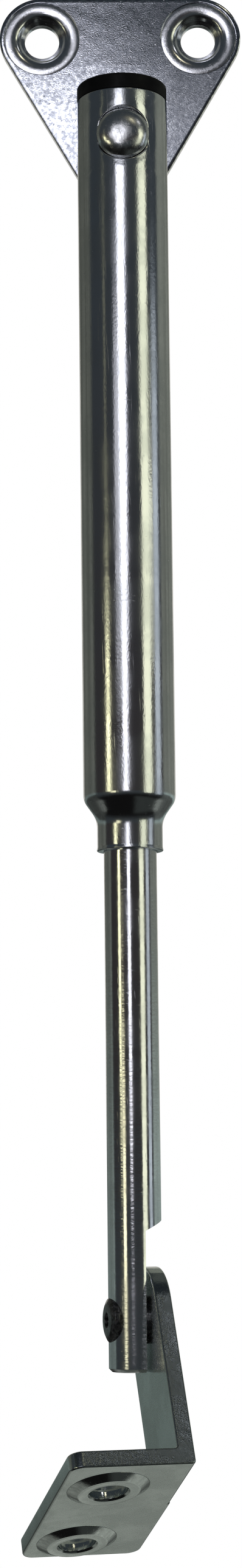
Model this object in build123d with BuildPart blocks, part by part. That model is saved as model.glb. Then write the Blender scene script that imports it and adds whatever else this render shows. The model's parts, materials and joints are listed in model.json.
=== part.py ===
from build123d import *
import math
import os

# A spring-loaded lid stay, hanging from its mounting plate with the rod fully out.
# X runs along the plate's two screw holes, Z points up the tube and -Y points to the front.
# The origin lies midway between the plate's screw holes, on the panel that they fasten to.
# Every length is in millimetres and every angle in degrees.

# Screw rings, pressed with one tool into the plate and the bracket
screw_hole_diameter = 5.5
ring_diameter = 12.0
ring_mouth_diameter = 7.5
ring_seat_diameter = 9.0
ring_standoff = 0.8
ring_step = 0.12
ring_roll = 1.3
hole_land = 1.0
hole_edge_break = 0.3

# Mounting plate
screw_spacing = 25.0
plate_sheet = 2.0
plate_corner_radius = 6.75
plate_edge_round = 0.35

# Tube, with its lower end drawn in round the rod
tube_diameter = 14.0
tube_wall = 0.9
tube_length = 117.75
tube_gap = 1.0
neck_length = 4.8
neck_angle = 35.0
neck_top_round = 2.5
neck_foot_round = 4.0
tube_end_round = 0.25

# Upper pivot
pivot_drop = 21.15
pivot_from_tube_end = 7.25
dent_depth = 1.25
dent_play = 0.15
head_diameter = 8.0
head_height = 1.9
head_washer_sheet = 0.35
pivot_pin_diameter = 5.0
pivot_stud_diameter = 4.0
pivot_tail_diameter = 6.4
pivot_tail_height = 0.65
sleeve_wall = 0.5

# End cap, and the seat that it gives the spring
cap_height = 2.4
cap_edge_round = 0.4
cap_spigot_beyond_dent = 0.5
spring_seat_sheet = 1.0
spring_seat_bore = 5.0

# Spring
wire_diameter = 1.2
spring_turns = 20
spring_end_turns = 2
spring_end_gap = 0.5
spring_play = 0.4

# Piston and what holds it on the rod's tail
piston_length = 8.0
piston_washer_sheet = 0.8
thrust_washer_sheet = 1.0
clip_sheet = 0.7
clip_depth = 0.5
clip_width = 1.3
clip_gap = 3.6
tail_beyond_clip = 1.5

# Stop bush in the tube's lower end
bush_length = 7.0
bush_foot_width = 0.9

# Rod
rod_diameter = 8.0
rod_tail_diameter = 5.5
rod_reach = 77.0
rod_end_chamfer = 0.5
pivot_from_rod_end = 7.5
flat_offset = 0.6
flat_above_pivot = 13.0
flat_shoulder_angle = 25.0

# Lower pivot
rod_twist = 14.6
rod_pin_diameter = 4.0
rod_head_diameter = 6.5
rod_head_rim = 0.9
rod_head_crown = 0.6
rod_head_seat = 3.2
rod_head_recess_diameter = 2.2
rod_head_recess_depth = 0.9
leg_washer_sheet = 0.45
leg_washer_diameter = 7.0
wave_washer_sheet = 0.3
tail_washer_sheet = 0.4
tail_washer_diameter = 7.0
rod_tail_head_diameter = 5.6
rod_tail_head_height = 0.5

# Lid bracket
bracket_sheet = 2.5
bracket_swing = 27.0
leg_width = 15.4
leg_reach = 25.5
foot_width = 18.2
foot_length = 35.2
foot_corner_round = 2.0
bend_outer_round = 0.6
bend_inner_round = 0.4
bracket_screw_spacing = 20.5
first_screw_from_edge = 8.2
screw_line_from_leg = 11.0

# Clearances
running_fit = 0.05
piston_fit = 0.08
bush_fit = 0.1
loose_fit = 0.3
seat_gap = 0.03
cut_margin = 1.0

# Places worked out from those sizes
tube_radius = tube_diameter / 2
bore_radius = tube_radius - tube_wall
rod_radius = rod_diameter / 2
tail_radius = rod_tail_diameter / 2
neck_bore_radius = rod_radius + running_fit
neck_radius = neck_bore_radius + tube_wall
plate_front = ring_standoff + plate_sheet
axis_depth = plate_front + tube_gap + tube_radius
pivot_z = -pivot_drop
plate_corner_z = -screw_spacing * math.sin(math.radians(60))
tube_top = pivot_z + pivot_from_tube_end
tube_foot = tube_top - tube_length
neck_top = tube_foot + neck_length
cone_top = neck_top + (tube_radius - neck_radius) / math.tan(math.radians(neck_angle))
wall_lift = tube_wall * math.tan(math.radians(neck_angle / 2))
dent_floor = tube_radius - dent_depth
dent_back = dent_floor - tube_wall
head_seat = dent_floor + seat_gap + head_washer_sheet
head_radius = head_diameter / 2
tail_head_radius = pivot_tail_diameter / 2
dent_radius = head_radius + dent_play
pin_radius = pivot_pin_diameter / 2
pin_bore_radius = pin_radius + running_fit
sleeve_radius = pin_bore_radius + sleeve_wall
ring_radius = ring_diameter / 2

cap_foot = pivot_z - dent_radius - tube_wall - cap_spigot_beyond_dent
spring_top = cap_foot - spring_seat_sheet
bush_chamfer = bush_foot_width / math.tan(math.radians(neck_angle))
bush_foot = cone_top + wall_lift - bush_chamfer + bush_fit
bush_top = bush_foot + bush_length
piston_foot = bush_top + thrust_washer_sheet + seat_gap
piston_top = piston_foot + piston_length
spring_foot = piston_top + piston_washer_sheet
clip_foot = spring_foot + seat_gap
tail_top = clip_foot + clip_sheet + tail_beyond_clip

rod_end = tube_foot - rod_reach
lower_pivot_z = rod_end + pivot_from_rod_end
rod_pin_radius = rod_pin_diameter / 2
leg_inner = flat_offset + leg_washer_sheet + seat_gap
leg_outer = leg_inner + bracket_sheet
wave_face = leg_outer + seat_gap
tail_washer_face = wave_face + wave_washer_sheet + seat_gap
rod_tail_head_face = tail_washer_face + tail_washer_sheet

# Directions at the lower pivot: across it to the rivet's head, down the leg and forward over the foot
twist = math.radians(rod_twist)
swing = math.radians(bracket_swing)
to_head = Vector(-math.cos(twist), -math.sin(twist), 0)
to_front = Vector(math.sin(twist), -math.cos(twist), 0)
up = Vector(0, 0, 1)
down_leg = to_front * math.sin(swing) - up * math.cos(swing)
over_foot = to_front * math.cos(swing) + up * math.sin(swing)

pivot_point = Vector(0, -axis_depth, pivot_z)
lower_point = Vector(0, -axis_depth, lower_pivot_z)
tube_axis = Axis((0, -axis_depth, 0), (0, 0, 1))
tube_section = Plane.XZ.offset(axis_depth)
pivot_section = Plane(origin=pivot_point, x_dir=up, z_dir=(1, 0, 0))
pivot_axis = Axis(pivot_point, (0, -1, 0))
lower_section = Plane(origin=lower_point, x_dir=up, z_dir=to_front)
lower_axis = Axis(lower_point, to_head)
lower_side = Plane(origin=lower_point, x_dir=to_head, z_dir=to_front * -1)
lower_cross = Plane(origin=lower_point, x_dir=to_front, z_dir=to_head)
leg_plane = Plane(origin=lower_point, x_dir=over_foot, z_dir=to_head)
bend_section = Plane(origin=lower_point, x_dir=to_head, z_dir=over_foot)
foot_seat = Plane(
    origin=lower_point + down_leg * (leg_reach + ring_standoff), x_dir=to_head, z_dir=down_leg * -1
)


def across(height):
    """The plane square to the tube's axis at a height."""
    return Plane(origin=(0, -axis_depth, height), x_dir=(1, 0, 0), z_dir=(0, 0, 1))


def at_pivot(distance):
    """The plane square to the upper pivot, at a distance in front of the tube's axis."""
    return Plane(origin=(0, -axis_depth - distance, pivot_z), x_dir=(1, 0, 0), z_dir=(0, -1, 0))


def washer(plane, outer_radius, inner_radius, thickness):
    """A plain washer that lies on a plane and rises along its normal."""
    with BuildPart() as ring:
        with BuildSketch(plane):
            Circle(outer_radius)
            Circle(inner_radius, mode=Mode.SUBTRACT)
        extrude(amount=thickness)
    return ring.part


def screw_ring(sheet):
    """The sheet round a screw hole, dished on one side and raised to a flat seat on the other."""
    hole_radius = screw_hole_diameter / 2
    mouth_radius = ring_mouth_diameter / 2
    face = ring_standoff + sheet - ring_step
    with BuildPart() as ring:
        with BuildSketch(Plane.XZ):
            with BuildLine():
                Polyline(
                    (mouth_radius, face - ring_roll),
                    (hole_radius, hole_land),
                    (hole_radius, hole_edge_break),
                    (hole_radius + hole_edge_break, 0),
                    (ring_seat_diameter / 2, 0),
                    (ring_radius, ring_standoff),
                    (ring_radius, face),
                    (mouth_radius + ring_roll, face),
                )
                RadiusArc((mouth_radius + ring_roll, face), (mouth_radius, face - ring_roll), -ring_roll)
            make_face()
        revolve(axis=Axis.Z)
    return ring.part


def dome_shoulder(radius, height):
    """How high a low round dome still stands halfway out from its middle."""
    sphere = (radius**2 + height**2) / (2 * height)
    return math.sqrt(sphere**2 - radius**2 / 4) - sphere + height


def biarc(start, start_way, end, end_way):
    """Two arcs that meet smoothly and join two points in the directions given."""
    span = end - start
    ways = start_way + end_way
    square = 4 - ways.dot(ways)
    linear = span.dot(ways)
    reach = (-linear + math.sqrt(linear**2 + square * span.dot(span))) / square
    first = start + start_way * reach
    last = end - end_way * reach
    middle = (first + last) / 2
    TangentArc(start, middle, tangent=start_way)
    TangentArc(middle, end, tangent=(last - first).normalized())


# Mounting plate
plate_ring = screw_ring(plate_sheet)
with BuildPart() as mounting_plate:
    with BuildSketch(Plane.XZ.offset(ring_standoff)):
        with BuildLine():
            Polyline((-screw_spacing / 2, 0), (screw_spacing / 2, 0), (0, plate_corner_z), close=True)
        make_face()
        offset(amount=plate_corner_radius, kind=Kind.ARC)
    extrude(amount=plate_sheet)
    plate_rims = mounting_plate.faces().filter_by(Axis.Y).edges()
    fillet(plate_rims, plate_edge_round)
    with Locations(Plane.XZ):
        with GridLocations(screw_spacing, 0, 2, 1):
            Cylinder(ring_radius, 4 * plate_front, mode=Mode.SUBTRACT)
            add(plate_ring)
    with BuildSketch(at_pivot(-axis_depth)):
        Circle(pivot_stud_diameter / 2 + running_fit)
    extrude(amount=plate_front, mode=Mode.SUBTRACT)
mounting_plate.part.label = "mounting_plate"

# Tube: the inside first, kept back where the wall is pressed in round the pivot
with BuildPart() as tube_inside:
    with BuildSketch(tube_section) as inside_profile:
        with BuildLine():
            Polyline(
                (0, tube_top + cut_margin),
                (bore_radius, tube_top + cut_margin),
                (bore_radius, cone_top + wall_lift),
                (neck_bore_radius, neck_top + wall_lift),
                (neck_bore_radius, tube_foot - cut_margin),
                (0, tube_foot - cut_margin),
                close=True,
            )
        make_face()
        inside_top = inside_profile.vertices().sort_by_distance((bore_radius, cone_top + wall_lift))[0]
        fillet(inside_top, neck_top_round - tube_wall)
        inside_neck = (neck_bore_radius, neck_top + wall_lift)
        inside_foot = inside_profile.vertices().sort_by_distance(inside_neck)[0]
        fillet(inside_foot, neck_foot_round + tube_wall)
    revolve(axis=tube_axis)
    for side in (1, -1):
        with BuildSketch(at_pivot(side * dent_back)):
            Circle(dent_radius + tube_wall)
        extrude(amount=side * tube_radius, mode=Mode.SUBTRACT)

with BuildPart() as outer_tube:
    with BuildSketch(tube_section) as tube_profile:
        with BuildLine():
            Polyline(
                (0, tube_top),
                (tube_radius, tube_top),
                (tube_radius, cone_top),
                (neck_radius, neck_top),
                (neck_radius, tube_foot),
                (0, tube_foot),
                close=True,
            )
        make_face()
        shoulder_corner = tube_profile.vertices().sort_by_distance((tube_radius, cone_top))[0]
        fillet(shoulder_corner, neck_top_round)
        neck_corner = tube_profile.vertices().sort_by_distance((neck_radius, neck_top))[0]
        fillet(neck_corner, neck_foot_round)
    revolve(axis=tube_axis)
    tube_rims = outer_tube.faces().filter_by(Axis.Z).edges()
    fillet(tube_rims, tube_end_round)
    for side in (1, -1):
        with BuildSketch(at_pivot(side * dent_floor)):
            Circle(dent_radius)
        extrude(amount=side * tube_radius, mode=Mode.SUBTRACT)
    add(tube_inside.part, mode=Mode.SUBTRACT)
    with BuildSketch(at_pivot(0)):
        Circle(pin_bore_radius)
    extrude(amount=tube_radius, both=True, mode=Mode.SUBTRACT)
outer_tube.part.label = "outer_tube"

# End cap: a flange over the tube's end, and a spigot with flats that clear the pressed-in walls
with BuildPart() as end_cap:
    with BuildSketch(across(tube_top)):
        Circle(tube_radius)
    extrude(amount=cap_height)
    cap_rim = end_cap.faces().sort_by(Axis.Z)[-1].edges()
    fillet(cap_rim, cap_edge_round)
    with BuildSketch(across(cap_foot)):
        Circle(bore_radius - running_fit)
    extrude(amount=tube_top - cap_foot)
    flat_height = pivot_z + dent_radius + tube_wall + running_fit - cap_foot
    for side in (1, -1):
        with BuildSketch(across(cap_foot)):
            with Locations((0, side * (dent_back - running_fit + bore_radius / 2))):
                Rectangle(tube_diameter, bore_radius)
        extrude(amount=flat_height, mode=Mode.SUBTRACT)
    with BuildSketch(at_pivot(0)):
        Circle(sleeve_radius + running_fit)
    extrude(amount=tube_radius, both=True, mode=Mode.SUBTRACT)
end_cap.part.label = "end_cap"

pivot_sleeve = washer(at_pivot(-dent_back), sleeve_radius, pin_bore_radius, 2 * dent_back)
pivot_sleeve.label = "pivot_sleeve"

# Upper rivet: a low dome in the front dent, a pin through the tube and a stud riveted over the plate
stud_shoulder = plate_front - axis_depth
stud_back = ring_standoff - axis_depth
with BuildPart() as pivot_rivet:
    with BuildSketch(pivot_section):
        with BuildLine():
            Polyline(
                (0, head_seat + head_height),
                (0, stud_back - pivot_tail_height),
            )
            Polyline(
                (tail_head_radius, stud_back),
                (pivot_stud_diameter / 2, stud_back),
                (pivot_stud_diameter / 2, stud_shoulder),
                (pin_radius, stud_shoulder),
                (pin_radius, head_seat),
                (head_radius, head_seat),
            )
            ThreePointArc(
                (0, stud_back - pivot_tail_height),
                (tail_head_radius / 2, stud_back - dome_shoulder(tail_head_radius, pivot_tail_height)),
                (tail_head_radius, stud_back),
            )
            ThreePointArc(
                (head_radius, head_seat),
                (head_radius / 2, head_seat + dome_shoulder(head_radius, head_height)),
                (0, head_seat + head_height),
            )
        make_face()
    revolve(axis=pivot_axis)
pivot_rivet.part.label = "pivot_rivet"

head_washer = washer(
    at_pivot(dent_floor + seat_gap), dent_radius - 2 * running_fit, pin_bore_radius, head_washer_sheet
)
head_washer.label = "head_washer"

spacer_length = axis_depth - plate_front - dent_floor - seat_gap
pivot_spacer = washer(at_pivot(stud_shoulder), head_radius, pin_bore_radius, spacer_length)
pivot_spacer.label = "pivot_spacer"

spring_seat = washer(
    across(spring_top), bore_radius - loose_fit, spring_seat_bore / 2, spring_seat_sheet
)
spring_seat.label = "spring_seat"

# Spring: close end turns and open turns between them, each half turn two smooth arcs
coil_radius = bore_radius - spring_play - wire_diameter / 2
end_halves = 2 * spring_end_turns
half_turns = 2 * spring_turns
end_rise = (wire_diameter + spring_end_gap) / 2
coil_height = spring_top - spring_foot - wire_diameter - 2 * seat_gap
open_rise = (coil_height - end_rise * 2 * end_halves) / (half_turns - 2 * end_halves)
rises = [end_rise] * end_halves + [open_rise] * (half_turns - 2 * end_halves) + [end_rise] * end_halves
turn_points = []
turn_ways = []
turn_height = spring_foot + wire_diameter / 2 + seat_gap
for half in range(half_turns + 1):
    direction = 1 if half % 2 == 0 else -1
    near = rises[max(half - 1, 0)]
    far = rises[min(half, half_turns - 1)]
    slope = (near + far) / 2 / math.pi
    turn_points.append(Vector(direction * coil_radius, -axis_depth, turn_height))
    turn_ways.append(Vector(0, direction * coil_radius, slope).normalized())
    turn_height += far
with BuildPart() as lift_spring:
    with BuildLine() as coil:
        for half in range(half_turns):
            biarc(turn_points[half], turn_ways[half], turn_points[half + 1], turn_ways[half + 1])
    with BuildSketch(Plane(origin=turn_points[0], z_dir=turn_ways[0])):
        Circle(wire_diameter / 2)
    sweep(path=coil.wire())
lift_spring.part.label = "lift_spring"
print("spring gap between open turns", round(2 * open_rise - wire_diameter, 2))
print("spring gap between end turns", round(2 * end_rise - wire_diameter, 2))
print("spring length", round(spring_top - spring_foot, 2), "solid", spring_turns * wire_diameter)

# Stop bush: rests on the drawn-in end of the tube and stops the rod's washer
with BuildPart() as stop_bush:
    with BuildSketch(across(bush_foot)):
        Circle(bore_radius - running_fit)
    extrude(amount=bush_length)
    bush_rim = stop_bush.faces().sort_by(Axis.Z)[0].edges()
    chamfer(bush_rim, length=bush_chamfer, length2=bush_foot_width)
    with BuildSketch(across(bush_foot)):
        Circle(rod_radius + bush_fit)
    extrude(amount=bush_length, mode=Mode.SUBTRACT)
stop_bush.part.label = "stop_bush"

# Piston on the rod's tail, between a thrust washer below and the spring's washer above
thrust_washer = washer(
    across(bush_top), bore_radius - loose_fit, tail_radius + running_fit, thrust_washer_sheet
)
thrust_washer.label = "thrust_washer"

with BuildPart() as guide_piston:
    with BuildSketch(across(piston_foot)):
        Circle(bore_radius - piston_fit)
        Circle(tail_radius + running_fit, mode=Mode.SUBTRACT)
    extrude(amount=piston_length)
    piston_rims = guide_piston.edges().filter_by(GeomType.CIRCLE).group_by(SortBy.RADIUS)[-1]
    chamfer(piston_rims, loose_fit)
guide_piston.part.label = "guide_piston"

piston_washer = washer(
    across(piston_top), bore_radius - loose_fit, tail_radius + running_fit, piston_washer_sheet
)
piston_washer.label = "piston_washer"

with BuildPart() as rod_clip:
    with BuildSketch(across(clip_foot)):
        Circle(tail_radius - clip_depth + clip_width)
        Circle(tail_radius - clip_depth + running_fit, mode=Mode.SUBTRACT)
        with Locations((0, -tail_radius)):
            Rectangle(clip_gap, rod_tail_diameter, mode=Mode.SUBTRACT)
    extrude(amount=clip_sheet)
rod_clip.part.label = "rod_clip"

# Rod: a grooved tail inside the tube and a flat beside the bracket's leg outside it
with BuildPart() as rod:
    with BuildSketch(across(rod_end)):
        Circle(rod_radius)
    extrude(amount=bush_top - rod_end)
    end_rim = rod.faces().sort_by(Axis.Z)[0].edges()
    chamfer(end_rim, rod_end_chamfer)
    with BuildSketch(across(bush_top)):
        Circle(tail_radius)
    extrude(amount=tail_top - bush_top)
    tail_rim = rod.faces().sort_by(Axis.Z)[-1].edges()
    chamfer(tail_rim, rod_end_chamfer)
    with BuildSketch(across(clip_foot - seat_gap)):
        Circle(rod_radius)
        Circle(tail_radius - clip_depth, mode=Mode.SUBTRACT)
    extrude(amount=clip_sheet + 2 * seat_gap, mode=Mode.SUBTRACT)
    with BuildSketch(lower_side):
        shoulder_run = rod_radius + cut_margin - flat_offset
        shoulder_rise = shoulder_run * math.tan(math.radians(flat_shoulder_angle))
        with BuildLine():
            Polyline(
                (-flat_offset, -pivot_from_rod_end - cut_margin),
                (-flat_offset, flat_above_pivot),
                (-flat_offset - shoulder_run, flat_above_pivot + shoulder_rise),
                (-flat_offset - shoulder_run, -pivot_from_rod_end - cut_margin),
                close=True,
            )
        make_face()
    extrude(amount=rod_diameter, both=True, mode=Mode.SUBTRACT)
    with BuildSketch(lower_cross.offset(rod_head_seat)):
        Circle(rod_head_diameter / 2 + running_fit)
    extrude(amount=rod_radius, mode=Mode.SUBTRACT)
    with BuildSketch(lower_cross):
        Circle(rod_pin_radius + running_fit)
    extrude(amount=rod_diameter, both=True, mode=Mode.SUBTRACT)
rod.part.label = "rod"

# Lower rivet: a rimmed black head with a round recess, its tail riveted over outside the leg
crown_height = rod_head_seat + rod_head_rim + rod_head_crown
rod_head_radius = rod_head_diameter / 2
rod_head_shoulder = dome_shoulder(rod_head_radius, rod_head_crown)
rod_tail_head_radius = rod_tail_head_diameter / 2
rod_tail_shoulder = dome_shoulder(rod_tail_head_radius, rod_tail_head_height)
with BuildPart() as lower_rivet:
    with BuildSketch(lower_section):
        with BuildLine():
            Polyline(
                (0, crown_height),
                (0, -rod_tail_head_face - rod_tail_head_height),
            )
            ThreePointArc(
                (0, -rod_tail_head_face - rod_tail_head_height),
                (rod_tail_head_radius / 2, -rod_tail_head_face - rod_tail_shoulder),
                (rod_tail_head_radius, -rod_tail_head_face),
            )
            Polyline(
                (rod_tail_head_radius, -rod_tail_head_face),
                (rod_pin_radius, -rod_tail_head_face),
                (rod_pin_radius, rod_head_seat),
                (rod_head_radius, rod_head_seat),
                (rod_head_radius, rod_head_seat + rod_head_rim),
            )
            ThreePointArc(
                (rod_head_radius, rod_head_seat + rod_head_rim),
                (rod_head_radius / 2, rod_head_seat + rod_head_rim + rod_head_shoulder),
                (0, crown_height),
            )
        make_face()
    revolve(axis=lower_axis)
    with BuildSketch(lower_cross.offset(crown_height - rod_head_recess_depth)):
        Circle(rod_head_recess_diameter / 2)
    extrude(amount=rod_head_recess_depth + cut_margin, mode=Mode.SUBTRACT)
lower_rivet.part.label = "lower_rivet"

leg_washer = washer(
    lower_cross.offset(-flat_offset - leg_washer_sheet),
    leg_washer_diameter / 2,
    rod_pin_radius + running_fit,
    leg_washer_sheet,
)
leg_washer.label = "leg_washer"

wave_washer = washer(
    lower_cross.offset(-wave_face - wave_washer_sheet),
    tail_washer_diameter / 2,
    rod_pin_radius + running_fit,
    wave_washer_sheet,
)
wave_washer.label = "wave_washer"

tail_washer = washer(
    lower_cross.offset(-tail_washer_face - tail_washer_sheet),
    tail_washer_diameter / 2,
    rod_pin_radius + running_fit,
    tail_washer_sheet,
)
tail_washer.label = "tail_washer"

# Lid bracket: a leg beside the rod's flat and a foot under the rod, bent from one sheet
bracket_ring = screw_ring(bracket_sheet)
foot_front = leg_width / 2
foot_back = foot_front - foot_length
foot_open_side = foot_width - leg_outer
screw_line = screw_line_from_leg - leg_outer
screw_middle = foot_front - first_screw_from_edge - bracket_screw_spacing / 2
foot_inner = leg_reach - bracket_sheet
foot_middle = leg_reach - bracket_sheet / 2
with BuildPart() as lid_bracket:
    with BuildSketch(bend_section) as bend_profile:
        with BuildLine():
            Polyline(
                (-leg_outer, 0),
                (-leg_inner, 0),
                (-leg_inner, foot_inner),
                (foot_open_side, foot_inner),
                (foot_open_side, leg_reach),
                (-leg_outer, leg_reach),
                close=True,
            )
        make_face()
        bend_inner = bend_profile.vertices().sort_by_distance((-leg_inner, foot_inner))[0]
        fillet(bend_inner, bend_inner_round)
        bend_outer = bend_profile.vertices().sort_by_distance((-leg_outer, leg_reach))[0]
        fillet(bend_outer, bend_outer_round)
    extrude(amount=foot_front, both=True)
    with BuildSketch(leg_plane.offset(-leg_outer)):
        Circle(foot_front)
    extrude(amount=bracket_sheet)
    with BuildSketch(foot_seat.offset(ring_standoff)):
        with Locations(((foot_open_side - leg_outer) / 2, (foot_back - foot_front) / 2)):
            Rectangle(foot_width, foot_length - leg_width)
    extrude(amount=bracket_sheet)
    foot_corners = lid_bracket.edges().filter_by(Axis((0, 0, 0), down_leg))
    for side, reach in ((foot_open_side, foot_front), (foot_open_side, foot_back), (-leg_outer, foot_back)):
        corner_place = lower_point + to_head * side + over_foot * reach + down_leg * foot_middle
        fillet(foot_corners.sort_by_distance(corner_place)[0], foot_corner_round)
        foot_corners = lid_bracket.edges().filter_by(Axis((0, 0, 0), down_leg))
    with Locations(foot_seat):
        with Locations((screw_line, screw_middle)):
            with GridLocations(0, bracket_screw_spacing, 1, 2):
                Cylinder(ring_radius, 4 * bracket_sheet, mode=Mode.SUBTRACT)
                add(bracket_ring)
    with BuildSketch(lower_cross):
        Circle(rod_pin_radius + running_fit)
    extrude(amount=-leg_outer - cut_margin, mode=Mode.SUBTRACT)
lid_bracket.part.label = "lid_bracket"

os.makedirs("parts", exist_ok=True)
pieces = [
    mounting_plate.part,
    outer_tube.part,
    end_cap.part,
    pivot_sleeve,
    pivot_rivet.part,
    head_washer,
    pivot_spacer,
    spring_seat,
    lift_spring.part,
    stop_bush.part,
    thrust_washer,
    guide_piston.part,
    piston_washer,
    rod_clip.part,
    rod.part,
    lower_rivet.part,
    leg_washer,
    wave_washer,
    tail_washer,
    lid_bracket.part,
]
for piece in pieces:
    export_step(piece, f"parts/{piece.label}.step")
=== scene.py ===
import json
import math

import bmesh
import bpy
from mathutils import Matrix, Vector

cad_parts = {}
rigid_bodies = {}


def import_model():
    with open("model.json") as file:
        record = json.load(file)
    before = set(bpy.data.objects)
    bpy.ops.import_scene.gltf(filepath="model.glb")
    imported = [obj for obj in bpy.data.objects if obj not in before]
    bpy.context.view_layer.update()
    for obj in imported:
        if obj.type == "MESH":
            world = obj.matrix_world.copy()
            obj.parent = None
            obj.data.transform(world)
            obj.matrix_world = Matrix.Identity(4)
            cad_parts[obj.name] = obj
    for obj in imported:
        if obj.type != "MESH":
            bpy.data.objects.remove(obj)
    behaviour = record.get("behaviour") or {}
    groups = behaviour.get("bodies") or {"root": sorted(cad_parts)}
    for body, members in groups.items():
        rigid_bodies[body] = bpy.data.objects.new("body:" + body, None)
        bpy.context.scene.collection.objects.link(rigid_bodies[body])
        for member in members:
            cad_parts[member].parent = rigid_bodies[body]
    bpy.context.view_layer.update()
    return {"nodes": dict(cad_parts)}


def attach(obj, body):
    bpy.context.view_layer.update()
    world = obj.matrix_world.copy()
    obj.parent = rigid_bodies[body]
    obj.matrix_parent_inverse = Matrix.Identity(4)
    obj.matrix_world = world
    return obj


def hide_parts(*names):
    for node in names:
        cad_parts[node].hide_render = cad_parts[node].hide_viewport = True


# A spring-loaded lid stay held over a plain pale floor, seen from the front.
# Sizes in the dictionaries are millimetres, which unit makes metres, and angles are degrees.
# Sizes and finenesses of the finishes' patterns count waves to the metre.
unit = 0.001

for starter in list(bpy.data.objects):
    bpy.data.objects.remove(starter)
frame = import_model()
nodes = frame["nodes"]
print("frame loaded:", len(nodes), "nodes")

stay = {
    "axisDepth": 10.8,        # tube axis in front of the panel
    "pivotDrop": 21.15,       # upper pivot below the plate's screw holes
    "tubeTop": -13.9,
    "tubeFoot": -131.65,
    "rodEnd": -208.65,
    "lowerPivot": -201.15,
    "rodTwist": 14.6,         # lower pivot, turned about the rod
    "bracketSwing": 27.0,     # bracket, turned about the lower pivot
}
twist = math.radians(stay["rodTwist"])
swing = math.radians(stay["bracketSwing"])
upward = Vector((0, 0, 1))
forward = Vector((0, -1, 0))
toHead = Vector((-math.cos(twist), -math.sin(twist), 0))
toFront = Vector((math.sin(twist), -math.cos(twist), 0))
downLeg = toFront * math.sin(swing) - upward * math.cos(swing)
overFoot = toFront * math.cos(swing) + upward * math.sin(swing)
tubeAxis = Vector((0, -stay["axisDepth"], 0)) * unit
upperPivot = Vector((0, -stay["axisDepth"], -stay["pivotDrop"])) * unit
lowerPivot = Vector((0, -stay["axisDepth"], stay["lowerPivot"])) * unit


def placing(origin, out, side=None):
    # carries local z onto out and local x onto side
    side = (side or out.orthogonal()).normalized()
    turn = Matrix((side, out.cross(side), out)).transposed().to_4x4()
    return Matrix.Translation(origin) @ turn


def roundedPath(corners, closed=False, fineness=12):
    # a profile through (radius, height, rounding) corners, each rounding drawn as a short arc
    points = []
    count = len(corners)
    for index, (radius, height, rounding) in enumerate(corners):
        here = Vector((radius, height))
        isEnd = not closed and index in (0, count - 1)
        if rounding == 0 or isEnd:
            points.append(here)
            continue
        before = (Vector(corners[index - 1][:2]) - here).normalized()
        after = (Vector(corners[(index + 1) % count][:2]) - here).normalized()
        half = before.angle(after) / 2
        centre = here + (before + after).normalized() * (rounding / math.sin(half))
        start = here + before * (rounding / math.tan(half)) - centre
        end = here + after * (rounding / math.tan(half)) - centre
        sweep = start.angle_signed(end)
        steps = max(2, math.ceil(abs(math.degrees(sweep)) / fineness))
        for step in range(steps + 1):
            angle = -sweep * step / steps
            points.append(centre + Matrix.Rotation(angle, 2) @ start)
    return points


def addPiece(name, mesh, body, stands, finish):
    # a finished piece, at the origin, with its place in its mesh
    piece = looseObject(name, mesh)
    mesh.materials.clear()
    mesh.materials.append(finish)
    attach(piece, body)
    if stands:
        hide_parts(*stands)


def harvest(source):
    # the plain mesh that an object's modifiers make
    bpy.context.view_layer.update()
    evaluated = source.evaluated_get(bpy.context.evaluated_depsgraph_get())
    mesh = bpy.data.meshes.new_from_object(evaluated)
    bpy.data.objects.remove(source)
    return mesh


def looseObject(name, data):
    holder = bpy.data.objects.new(name, data)
    bpy.context.scene.collection.objects.link(holder)
    return holder


def joinRings(shape, rings):
    # quads between each ring of vertices and the next
    for upper, lower in zip(rings, rings[1:]):
        for i in range(len(upper)):
            following = (i + 1) % len(upper)
            shape.faces.new((upper[i], upper[following], lower[following], lower[i]))


def finishShape(shape, name, place, weld=0.0):
    # welded, turned outwards, smoothed and put in its place
    if weld:
        bmesh.ops.remove_doubles(shape, verts=shape.verts, dist=weld)
    bmesh.ops.recalc_face_normals(shape, faces=shape.faces)
    for face in shape.faces:
        face.smooth = True
    bmesh.ops.transform(shape, matrix=place @ Matrix.Scale(unit, 4), verts=shape.verts)
    mesh = bpy.data.meshes.new(name)
    shape.to_mesh(mesh)
    shape.free()
    return mesh


# Node trees: a new tree with its sockets, and nodes with their settings and inputs

def newTree(name, kind, inputs, outputs):
    # the tree, the values given to it and the sockets of its results
    tree = bpy.data.node_groups.new(name, kind)
    for label, socketKind, value in inputs:
        socket = tree.interface.new_socket(name=label, in_out="INPUT", socket_type="NodeSocket" + socketKind)
        if value is not None:
            socket.default_value = value
    for label, socketKind in outputs:
        tree.interface.new_socket(name=label, in_out="OUTPUT", socket_type="NodeSocket" + socketKind)
    return tree, tree.nodes.new("NodeGroupInput").outputs, tree.nodes.new("NodeGroupOutput").inputs


def wire(tree, value, socket):
    # links a node's output to the socket, or sets the socket's own value
    if isinstance(value, bpy.types.NodeSocket):
        tree.links.new(value, socket)
    else:
        socket.default_value = value


def addNode(tree, kind, inputs=None, **settings):
    node = tree.nodes.new(kind)
    for name, value in settings.items():
        setattr(node, name, value)
    for label, value in (inputs or {}).items():
        wire(tree, value, node.inputs[label])
    return node.outputs


def mathNode(tree, operation, first, second=0.0):
    return addNode(tree, "ShaderNodeMath", {0: first, 1: second}, operation=operation)[0]


def plus(tree, first, second):
    return mathNode(tree, "ADD", first, second)


def times(tree, first, second):
    return mathNode(tree, "MULTIPLY", first, second)


# Geometry Nodes: a part turned from a profile, and a row of rings turned from one profile

def sendOut(tree, geometry, given, result):
    # the finished geometry, with its finish on
    real = addNode(tree, "GeometryNodeRealizeInstances", {0: geometry})[0]
    painted = addNode(tree, "GeometryNodeSetMaterial", {"Geometry": real, "Material": given["Finish"]})[0]
    wire(tree, painted, result[0])


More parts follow.
